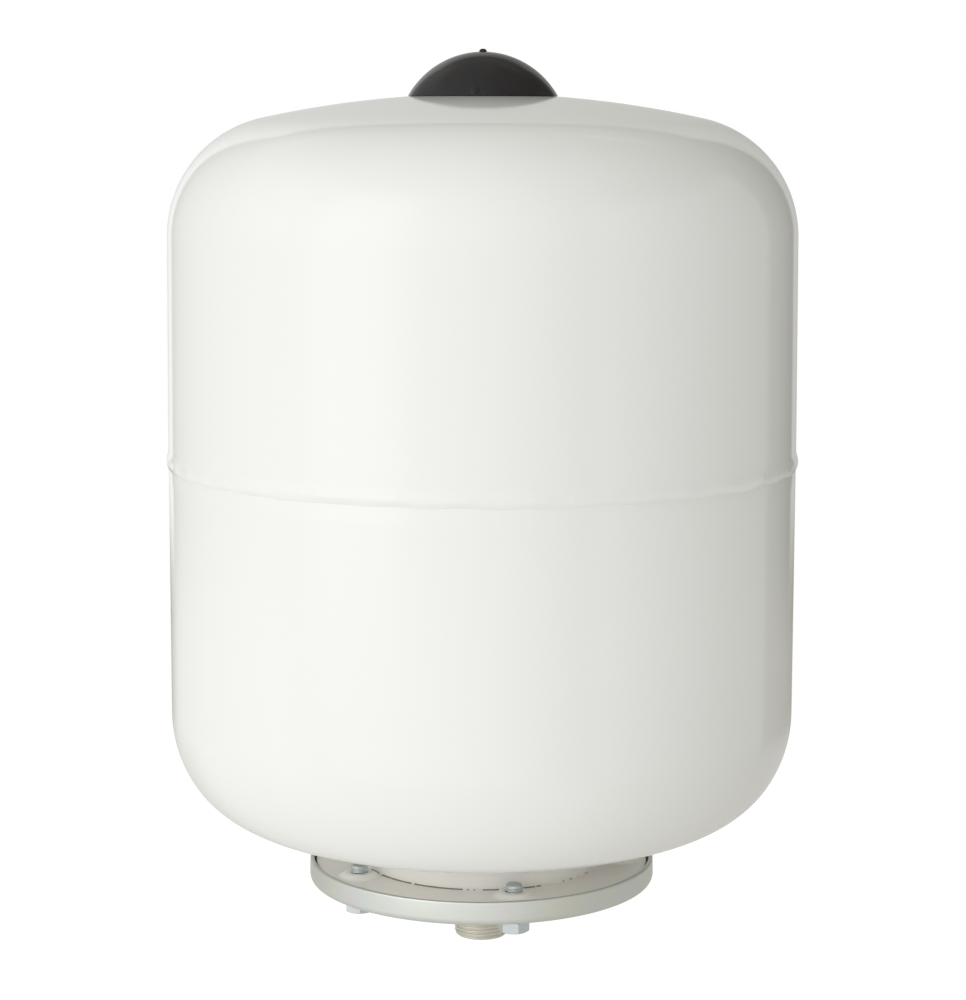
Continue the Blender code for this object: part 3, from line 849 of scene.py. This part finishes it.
def bolt_shape(angle, radius, height):
    cone = 6.35 + (height - bolt_bottom) * 1.7
    far_cone = 6.9 + (HEAD_TOP - height) * 2.6
    head = np.minimum(hexagon(angle, HEAD_APOTHEM), np.minimum(cone, far_cone))
    radius = np.where(radius == SIDE, head, radius)
    shank = (height > HEAD_TOP + 0.2) & (radius > 3.0)
    cut = groove(angle, height, BOLT_PITCH) * fade(height, 32.5, bolt_tip - 0.9, 0.9) * 0.45
    return np.where(shank, np.maximum(radius - cut, 3.1), radius), height


bolt_outline = [(0, bolt_bottom + 0.15), (3.5, bolt_bottom + 0.15), (4.2, bolt_bottom), (6.1, bolt_bottom)]
bolt_outline += line((SIDE, bolt_bottom + 0.05), (SIDE, bolt_bottom + 1.0), 9)
bolt_outline += line((SIDE, bolt_bottom + 1.3), (SIDE, HEAD_TOP - 0.5), 5)
bolt_outline += [(SIDE, HEAD_TOP - 0.1), (5.9, HEAD_TOP), (4.3, HEAD_TOP), (BOLT_R, HEAD_TOP + 0.3)]
bolt_outline += line((BOLT_R, 32.0), (BOLT_R, bolt_tip - 1.3), 92)
bolt_outline += softened([(BOLT_R, bolt_tip - 1.25, 0.1), (BOLT_R - 0.25, bolt_tip - 0.6, 0.3),
                          (3.2, bolt_tip - 0.02, 0.4), (2.0, bolt_tip, 0.3)])[0:20] + [(0, bolt_tip)]

HEAD_TURNS_DEG = [-74, 21, 8, 49, 33]
for name, (x, y), turn_deg in zip(BOLT_NAMES, BOLT_PLACES, HEAD_TURNS_DEG):
    bolt = turned(f"{name}_screw", bolt_outline, 96, bolt_shape, 50)
    spin = Matrix.Rotation(math.radians(turn_deg), 4, "Z")
    bolt.data.transform(Matrix.Translation(Vector((x, y, 0)) * MM) @ spin)
    seated(bolt, "vessel", "zinc_plate", bolt_zinc, name)

# %% [markdown]
# ## The washers
#
# A washer is punched from sheet, so one face has a rolled edge and the other a small burr. The outline
# has a large soft corner below and a small one above.

# %% Washers
WASHER_HOLE_R = 4.3
WASHER_R = 8.0
for number, (x, y) in enumerate(BOLT_PLACES, 1):
    node = f"flange_washer_{number}"
    low, high = span(node)
    washer_outline = softened([(WASHER_HOLE_R, low.z, 0.3), (WASHER_R, low.z, 0.5),
                               (WASHER_R, high.z, 0.15), (WASHER_HOLE_R, high.z, 0.15)])
    washer = turned(f"{node}_ring", washer_outline, 72)
    washer.data.transform(Matrix.Translation(Vector((x, y, 0)) * MM))
    seated(washer, "vessel", "zinc_plate", bolt_zinc, node)


# %% [markdown]
# ## Rubber
#
# The bladder and the seals are black butyl rubber. Rubber is dull because its skin is full of tiny
# pits, and it picks up a pale bloom of talc. A high roughness, a fine bump and a faint grey cloud give
# both.

# %% Rubber
def butyl_rubber(name, grain_mm, bloom_share):
    finish = Finish(name, IOR=1.5)
    bloom = finish.noise(grain_mm * 22, 4)
    grain = finish.noise(grain_mm, 3)
    body = finish.mixed(bloom * bloom_share, colour(0.018, 0.018, 0.019), colour(0.16, 0.155, 0.15))
    pores = finish.bump(grain, grain_mm * 0.12)
    return finish.wear(Base_Color=body, Roughness=bloom * 0.2 + 0.52, Normal=pores)


bladder_rubber = butyl_rubber("bladder_rubber", 1.1, 0.35)
seal_rubber = butyl_rubber("seal_rubber", 0.4, 0.15)
print("rubber:", bladder_rubber.name, seal_rubber.name)

# %% [markdown]
# ## The bladder
#
# The bladder is a thick bag that stands on its own lip, which the counterflange clamps against the
# ring. Only partly full, it sags between soft lengthwise folds, and two fine lines show where its mould
# closed. A cloth simulation could make the folds, but a moulded bag of this thickness holds a regular
# shape, so a few waves in the bend rule are closer to it. Both skins of the bag move together, which
# keeps its wall 2 mm thick.

# %% Bladder
def bezier(first, pull, push, last, steps):
    t = np.linspace(0, 1, steps + 1)[:, None]
    first, pull, push, last = (np.array(point, float) for point in (first, pull, push, last))
    curve = first * (1 - t) ** 3 + pull * 3 * t * (1 - t) ** 2 + push * 3 * t**2 * (1 - t) + last * t**3
    return [tuple(point) for point in curve]


def bag_folds(angle, radius, height):
    rise = np.clip((height - 70) / 70, 0, 1) * np.clip((332 - height) / 60, 0, 1)
    folds = np.sin(6 * angle + 0.4) * 2.2 + np.sin(13 * angle + height / 60) * 0.8
    seam = np.exp(-((np.sin(angle + 0.5) / 0.012) ** 2)) * 0.5
    outside = (radius > 0) * np.clip(rise * 3, 0, 1)
    return radius + np.where(radius > 20, rise * folds - rise * 2.0, 0) + seam * outside * skin_mask, height


neck_line = line((55.4, 36.5), (55.4, 52.0), 6)
rise_line = bezier((55.4, 52), (55.4, 92), (104, 135), (104, 195), 26)
close_line = bezier((104, 195), (104, 275), (66, 332), (0, 332), 34)
outer_skin = neck_line + rise_line[1:] + close_line[1:]
bag = sheet(outer_skin, -2.0)
inner_skin = bag[len(outer_skin):]
inner_skin[0] = (0, 330.0)
lip = softened([(53.4, 32.6, 0.5), (63.6, 32.6, 0.8), (63.6, 35.0, 0.8), (55.4, 35.0, 0.9)])
bag_outline = inner_skin[:-1] + lip + outer_skin[1:]
skin_mask = np.concatenate([np.zeros(len(inner_skin) - 1 + len(lip)), np.ones(len(outer_skin) - 1)])[None, :]
bladder = turned("butyl_bladder", bag_outline, 240, bag_folds)
seated(bladder, "vessel", "black_rubber", bladder_rubber, "bladder")

# %% [markdown]
# ## Bush and air valve
#
# The air valve screws into a short steel bush that is welded into the top of the dome. Everything here
# is small and hidden under the cover, but it moves when a pump is put on, so each piece is separate.
# The bush is sprayed together with the shell. Its weld is a small fillet with the same coin ripples.

# %% Bush and its weld
bush_low, bush_high = span("valve_bush")
bush_outline = softened([(6.4, bush_low.z, 0.5), (10.0, bush_low.z, 0.5), (10.0, bush_high.z, 1.0),
                         (6.4, bush_high.z, 0.5)])
bush = turned("valve_bush_socket", bush_outline, 96)
seated(bush, "vessel", "white_paint", enamel, "valve_bush")


def small_ripples(angle, radius, height):
    face = np.clip((radius - 10.5) / 0.5, 0, 1)
    wave = (angle / (2 * math.pi) * 22) % 1
    return radius + face * (0.16 * wave - 0.14), height


foot = span("bush_weld")[0].z
BUSH_WELD_LEG = 2.5
bush_weld_outline = softened([
    (BUSH_HOLE_R, foot + 0.25, 0), (BUSH_HOLE_R + BUSH_WELD_LEG, foot + 0.02, 0.3),
    (11.6, foot + 1.0, 0.8), (10.35, foot + 0.25 + BUSH_WELD_LEG, 0.3)], 5)
bush_weld = turned("bush_weld_bead", bush_weld_outline, 264, small_ripples, 60)
seated(bush_weld, "vessel", "white_paint", enamel, "bush_weld")


# %% [markdown]
# ## Brass
#
# The valve is turned from brass rod. A lathe leaves very fine rings, so the noise is stretched round the
# axis: large along X and Y, small along Z. Brass also dulls, which shows first as brown clouds.

# %% Brass
def turned_brass():
    finish = Finish("turned_brass", Metallic=1.0)
    dull = finish.noise(3, 3)
    body = finish.mixed(finish.eased(dull, 0.45, 0.8), colour(0.80, 0.60, 0.30), colour(0.50, 0.36, 0.19))
    rings = finish.noise(0.25, 2, 0.5, (0.05, 0.05, 1.0))
    rough = rings * 0.15 + dull * 0.15 + 0.16
    return finish.wear(Base_Color=body, Roughness=rough, Normal=finish.bump(rings, 0.006))


brass = turned_brass()
print(brass.name, "ready")

# %% [markdown]
# ## Valve body, gasket and core
#
# The body has a hexagon for the spanner, a stem with a fine outside thread that a pump screws onto, and
# a thread below that holds it in the bush. Its outline runs down the bore, round the bottom and up the
# outside. The core is a plug with two flats' worth of slots at its top, where a key turns it.

# %% Valve body
body_low, body_high = span("valve_body")
HEX_LOW, HEX_HIGH = 416.2, 419.2
STEM_R = 3.85
STEM_PITCH = 0.794
PLUG_PITCH = 1.0


def valve_shape(angle, radius, height):
    cone = 7.25 + (HEX_HIGH - height) * 1.7
    low_cone = 7.5 + (height - HEX_LOW) * 1.7
    head = np.minimum(hexagon(angle, 7.0), np.minimum(cone, low_cone))
    radius = np.where(radius == SIDE, head, radius)
    stem = (radius > 3.5) & (radius < 4.0) & (height > HEX_HIGH + 0.4)
    cut = groove(angle, height, STEM_PITCH) * fade(height, 420.6, 427.4, 0.5) * 0.42
    radius = np.where(stem, radius - cut, radius)
    plug = (radius > 5.4) & (radius < 6.2) & (height < HEX_LOW - 0.8)
    cut = groove(angle, height, PLUG_PITCH) * fade(height, 403.4, 415.0, 0.6) * 0.5
    return np.where(plug, radius - cut, radius), height


valve_outline = [(2.7, body_high.z), (2.5, body_high.z - 0.2), (2.5, 413.0), (1.6, 413.0)]
valve_outline += [(1.6, body_low.z + 0.2)]
valve_outline += [(1.8, body_low.z), (5.6, body_low.z)] + line((6.1, body_low.z + 0.5), (6.1, 415.3), 84)
valve_outline += [(5.8, 415.6), (5.8, HEX_LOW), (7.1, HEX_LOW)]
valve_outline += line((SIDE, HEX_LOW + 0.05), (SIDE, HEX_LOW + 0.5), 4)
valve_outline += line((SIDE, 417.0), (SIDE, 418.4), 4)
valve_outline += line((SIDE, 418.6), (SIDE, HEX_HIGH - 0.03), 4) + [(7.0, HEX_HIGH), (4.2, HEX_HIGH)]
valve_outline += [(STEM_R, HEX_HIGH + 0.35)] + line((STEM_R, 419.7), (STEM_R, body_high.z - 0.5), 80)
valve_outline += [(STEM_R - 0.45, body_high.z)]
valve_body = turned("valve_body_turning", valve_outline, 96, valve_shape)
seated(valve_body, "vessel", "brass", brass, "valve_body")

# %% Gasket and core
gasket_outline = softened([(6.4, 414.8, 0.35), (8.4, 414.8, 0.35), (8.4, 415.9, 0.35),
                           (6.4, 415.9, 0.35)])
gasket = turned("valve_gasket_ring", gasket_outline, 72)
seated(gasket, "vessel", "black_rubber", seal_rubber, "valve_gasket")


def key_slots(angle, radius, height):
    slot = np.abs(((angle + math.pi / 2) % math.pi) - math.pi / 2) < 0.32
    top = np.clip((height - 425.0) / 0.3, 0, 1)
    return radius - np.where(slot, top * np.clip(radius - 1.5, 0, 1), 0), height


core_outline = softened([(0.9, 420.5, 0.1), (2.2, 420.5, 0.3), (2.2, 422.1, 0.1), (2.0, 422.3, 0.1),
                         (2.0, 422.8, 0.1), (2.2, 423.0, 0.1), (2.2, 424.9, 0), (2.2, 425.35, 0),
                         (2.2, 425.8, 0.2), (0.9, 425.8, 0.1)], 3)
core = turned("valve_core_plug", core_outline, 96, key_slots)
seated(core, "vessel", "brass", brass, "valve_core")

# %% [markdown]
# ## Pin, seal and spring
#
# Pressing the pin lets air pass. Pin and seal ride on their own body, so they move down together. The
# spring stays on the vessel and is squeezed by the pin's foot. Its wire is a tube swept along a helix, with
# closed end coils.

# %% Pin and its seal
pin_low, pin_high = span("valve_pin")
pin_outline = softened([(0, pin_low.z, 0), (1.9, pin_low.z, 0.15), (1.9, pin_low.z + 0.6, 0.15),
                        (0.55, pin_low.z + 0.6, 0.1), (0.55, pin_high.z - 0.1, 0.2), (0.3, pin_high.z, 0.1),
                        (0, pin_high.z, 0)])
pin = turned("valve_pin_rod", pin_outline, 48)
seated(pin, "pin", "brass", brass, "valve_pin")
seal_outline = softened([(0.85, 419.6, 0.15), (2.0, 419.6, 0.2), (2.0, 420.2, 0.2), (0.85, 420.2, 0.15)])
seal = turned("valve_pin_seal_ring", seal_outline, 48)
seated(seal, "pin", "black_rubber", seal_rubber, "valve_pin_seal")


# %% Spring
def wire_tube(name, path, wire_r, sides):
    """A tube along a path of points in millimetres, closed at both ends."""
    path = np.array(path)
    along = np.gradient(path, axis=0)
    along /= np.linalg.norm(along, axis=1)[:, None]
    outward = np.stack([path[:, 0], path[:, 1], np.zeros(len(path))], axis=1)
    outward -= along * (outward * along).sum(axis=1)[:, None]
    outward /= np.linalg.norm(outward, axis=1)[:, None]
    upward = np.cross(along, outward)
    turn = np.linspace(0, 2 * math.pi, sides, endpoint=False)
    rings = path[:, None] + wire_r * (np.cos(turn)[None, :, None] * outward[:, None]
                                      + np.sin(turn)[None, :, None] * upward[:, None])
    index = np.arange(len(path) * sides).reshape(len(path), sides)
    beside = np.roll(index, -1, axis=1)
    quads = np.stack([index[:-1], beside[:-1], beside[1:], index[1:]], axis=2).reshape(-1, 4).tolist()
    caps = [index[0].tolist(), index[-1].tolist()]
    mesh = bpy.data.meshes.new(name)
    mesh.from_pydata((rings.reshape(-1, 3) * MM).tolist(), [], quads + caps)
    return tidied(name, mesh, 60)


def spring_steel():
    finish = Finish("spring_steel", Metallic=1.0)
    drawn = finish.noise(0.3, 3)
    body = finish.mixed(drawn, colour(0.55, 0.55, 0.54), colour(0.70, 0.70, 0.69))
    return finish.wear(Base_Color=body, Roughness=drawn * 0.15 + 0.2, Normal=finish.bump(drawn, 0.004))


spring_low, spring_high = span("valve_spring")
WIRE_R = 0.2
COIL_R = 1.75
COILS = 5.5
END_COIL = 0.75  # part of a turn that lies nearly flat at each end
END_PITCH = 0.42
turns = np.linspace(0, COILS, 331)
climb = np.clip((turns - END_COIL) / (COILS - 2 * END_COIL), 0, 1)
flat = np.minimum(turns, END_COIL) * END_PITCH + np.maximum(turns - COILS + END_COIL, 0) * END_PITCH
climbed = spring_high.z - spring_low.z - 2 * WIRE_R - 2 * END_COIL * END_PITCH
heights = spring_low.z + WIRE_R + flat + climb * climbed
helix = [(COIL_R * math.cos(2 * math.pi * t), COIL_R * math.sin(2 * math.pi * t), z)
         for t, z in zip(turns, heights)]
spring = wire_tube("valve_spring_coil", helix, WIRE_R, 12)
seated(spring, "vessel", "spring_steel", spring_steel(), "valve_spring")
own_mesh(spring)

# %% [markdown]
# ## Black plastic and the valve cover
#
# The cover is a moulded dome that clips onto the valve's stem. Its mould was polished, so it is glossy,
# but the plastic shrinks a little unevenly as it cools and the reflections waver. Two marks show how it
# was made: the nub on top, where the plastic was fed in, and a small round pip low on the front, where
# it was pushed out of the mould.

# %% Black plastic
def moulded_plastic():
    finish = Finish("moulded_plastic", IOR=1.5, Specular_IOR_Level=0.12)
    flow = finish.noise(9, 3, 0.5, (1.0, 1.0, 0.5))
    scuffs = finish.noise(1.2, 5, 0.7)
    body = finish.mixed(flow, colour(0.021, 0.0205, 0.021), colour(0.030, 0.028, 0.028))
    dust = finish.specks(5, 0.12, 0.08)
    body = finish.mixed(dust * 0.5, body, colour(0.25, 0.24, 0.22))
    shrink = finish.bump(finish.noise(16, 1), 0.10, finish.bump(scuffs, 0.004))
    return finish.wear(Base_Color=body, Roughness=scuffs * 0.10 + 0.13, Normal=shrink)


plastic = moulded_plastic()

# %% Valve cover
cover_low, cover_high = span("valve_cover")
COVER_R = 35.4
COVER_TOP = 429.5
COVER_WALL = 1.6
SLEEVE_R = 6.2
rise = COVER_TOP - cover_low.z
ball = (COVER_R**2 + rise**2) / (2 * rise)
middle = (0, COVER_TOP - ball)
rim_deg = math.degrees(math.asin((cover_low.z + 0.5 - middle[1]) / ball))
inner_rim_deg = math.degrees(math.asin((cover_low.z + 0.5 - middle[1]) / (ball - COVER_WALL)))
NUB_R = 1.75
nub_deg = math.degrees(math.acos((NUB_R + 0.35) / ball))
sleeve_deg = math.degrees(math.acos(SLEEVE_R / (ball - COVER_WALL)))
PIP_PLACE = (-3.7, 411.2)


def moulding_pip(angle, radius, height):
    across = radius * np.sin(angle) - PIP_PLACE[0]
    near = np.sqrt(across**2 + (height - PIP_PLACE[1]) ** 2)
    front = (np.cos(angle) > 0.5) & (radius > 32.5)
    swell = np.clip((2.1 - near) / 1.3, 0, 1)
    return radius + np.where(front, swell * swell * (3 - 2 * swell) * 1.0, 0), height


cover_outline = [(0, cover_high.z), (0.7, cover_high.z - 0.04), (1.25, cover_high.z - 0.25),
                 (1.6, cover_high.z - 0.62), (NUB_R, cover_high.z - 1.05), (NUB_R + 0.1, cover_high.z - 1.3)]
cover_outline += arc(middle, ball, nub_deg, rim_deg, 90)
cover_outline += [(COVER_R - 0.05, cover_low.z + 0.15), (COVER_R - 0.35, cover_low.z),
                  (COVER_R - 1.3, cover_low.z), (COVER_R - COVER_WALL, cover_low.z + 0.2)]
cover_outline += arc(middle, ball - COVER_WALL, inner_rim_deg, sleeve_deg, 40)
cover_outline += [(SLEEVE_R, 420.6), (5.9, 420.2), (4.5, 420.2), (4.15, 420.6), (4.15, 427.6), (0, 427.6)]
cover = turned("valve_cover_moulding", cover_outline, 360, moulding_pip)
seated(cover, "cover", "black_plastic", plastic, "valve_cover")

# %% [markdown]
# ## The floor
#
# The vessel stands on a pale light table. A small disc is enough, because the surroundings are pale too.
# It glows from below, more on the side that faces the main light, so almost no shadow is left. The camera
# sees it as plain white. Its edge fades out, so no line shows where the table ends.

# %% Floor
def table_top():
    finish = Finish("pale_table", Specular_IOR_Level=0.0, Emission_Strength=1.0)
    away = finish.distance_to_axis()
    grain = finish.noise(1.5, 3)
    pale = finish.mixed(grain, colour(0.20, 0.20, 0.20), colour(0.22, 0.22, 0.21))
    lit_side = finish.eased(finish.x * -0.55 - finish.y * 0.83, 0.03, 0.16)
    glow = finish.mixed(lit_side, colour(0.52, 0.51, 0.48), colour(0.79, 0.79, 0.78))
    seen = finish.node("ShaderNodeLightPath", output="Is Camera Ray")
    shown = finish.mixed(seen, glow, WHITE)
    fading = 1 - finish.eased(away, 0.28, 0.60)
    return finish.wear(Base_Color=pale, Alpha=fading, Roughness=0.9, Emission_Color=shown,
                       Normal=finish.bump(grain, 0.02))


FLOOR_R = 620
FLOOR_GAP = 0.0002
floor_outline = [(0, 0.0), (150, 0.0), (350, 0.0), (FLOOR_R, 0.0), (FLOOR_R, -4.0), (0, -4.0)]
floor = turned("pale_table_top", floor_outline, 96)
floor.data.transform(Matrix.Translation((0, 0, -FLOOR_GAP)))
floor.data.materials.append(table_top())
print("floor stands at", span("water_nipple")[0].z)

# %% [markdown]
# ## Studio light
#
# A white, glossy object mostly shows what stands round it. So the studio is described as a room of
# light: how bright each direction is. The world shader holds it as a sum of soft-edged patches:
#
# - the key light, a large soft glow at the front left, with a softbox in it, and a weak fill light
# - a panel on the left and one on the right. Past the right one is a dark gap, which gives the wall its
#   long darker edge
# - a backdrop behind the vessel, brighter to the left and towards its edges
# - weak light from above and from the ground, a dim ceiling, and one thin bowed strip at the back right
#
# Dim directions are tinted warm. The camera itself sees plain white.

# %% Room of light
world = bpy.data.worlds.new("studio")
bpy.context.scene.world = world
world.use_nodes = True
world.node_tree.nodes.clear()
room = Wiring(world.node_tree)
way = room.node("ShaderNodeTexCoord", output="Generated")
way_x, way_y, way_z = room.split(way)
azimuth = room.maths("ARCTAN2", way_x, way_y * -1) * math.degrees(1)
elevation = room.maths("ARCSINE", way_z) * math.degrees(1)


def soft_source(azimuth_deg, elevation_deg, width):
    """A round glow round one direction. A larger width gives a softer glow."""
    turn, lift = math.radians(azimuth_deg), math.radians(elevation_deg)
    towards = (math.sin(turn) * math.cos(lift), -math.cos(turn) * math.cos(lift), math.sin(lift))
    facing = way_x * towards[0] + way_y * towards[1] + way_z * towards[2]
    return room.maths("EXPONENT", (facing - 1) / width)


BASE_LEVEL = 0.12
key = soft_source(-33, 20, 0.42) * 1.16
fill = soft_source(9, 14, 0.30) * 0.31
softbox = room.between(azimuth, -64, -28, 9) * room.between(elevation, -10, 45, 4) * 0.75
low = room.between(elevation, -60, 34, 5)
right_panel = room.between(azimuth, 40, 124.5, 1.5) * low * 0.38
left_panel = room.between(azimuth, -154, -70, 12) * room.between(elevation, -60, 50, 12) * 0.40
slope = way_z - way_y * 0.78
below = 1 - room.eased(slope, -0.02, 0.02)
behind = 1 - room.between(azimuth, -154, 153.5, 1.0)
left_share = 1 - room.eased(way_x, -0.30, 0.30)
edges = 1 - room.eased(room.maths("ABSOLUTE", azimuth), 156, 171)
backdrop = behind * below * room.eased(elevation, -11, -8) * (left_share * 0.25 + edges * 0.16 + 0.36)
above = room.eased(slope, 0.02, 0.30) * (1 - room.between(azimuth, 20, 150, 15)) * 0.20
ground = (1 - room.eased(elevation, -12, -8.5)) * 0.26
ceiling = room.eased(elevation, 45, 80) * 0.04
bow = azimuth - 148
ridge = elevation - 53.2 - bow * 0.36 + bow * bow * 0.0125
strip = room.between(azimuth, 138, 158, 1.5) * room.between(ridge, -0.5, 0.5, 0.5) * 1.6
level = key + fill + softbox + right_panel + backdrop + left_panel + above + ground + ceiling + strip
level = level + BASE_LEVEL
tone = room.mixed(room.eased(level, 0.1, 0.9), colour(1.0, 0.965, 0.82), WHITE)
seen = room.node("ShaderNodeLightPath", output="Is Camera Ray")
lit = room.node("ShaderNodeBackground", None, {"Color": tone, "Strength": level})
white = room.node("ShaderNodeBackground", None, {"Color": WHITE, "Strength": 1.0})
shown = room.node("ShaderNodeMixShader", None, {0: seen, 1: lit, 2: white})
output = world.node_tree.nodes.new("ShaderNodeOutputWorld")
world.node_tree.links.new(shown.socket, output.inputs["Surface"])
print("world nodes:", len(world.node_tree.nodes))

# %% [markdown]
# ## The camera
#
# Product pictures are taken from some way off with a long lens, a little above the middle of the
# object, so that its walls stay nearly parallel. The view transform is set to Standard, because the
# default one greys down a white object on a white ground.

# %% Camera
lens = bpy.data.cameras.new("camera")
LENS_MM = 94.92
TILT_DOWN_DEG = 8.44
ROLL = 0.0019
lens.lens = LENS_MM
lens.sensor_width = 36.0
camera = bpy.data.objects.new("camera", lens)
camera.location = (0.0004, -1.2582, 0.4029)
camera.rotation_mode = "XYZ"
camera.rotation_euler = (math.radians(90 - TILT_DOWN_DEG), 0.0, 0.0)
aim = Matrix.LocRotScale(camera.location, camera.rotation_euler, None)
camera.matrix_world = aim @ Matrix.Rotation(ROLL, 4, "Z")
bpy.context.scene.collection.objects.link(camera)
bpy.context.scene.camera = camera
bpy.context.scene.view_settings.view_transform = "Standard"
print("camera", [round(value, 4) for value in camera.location])
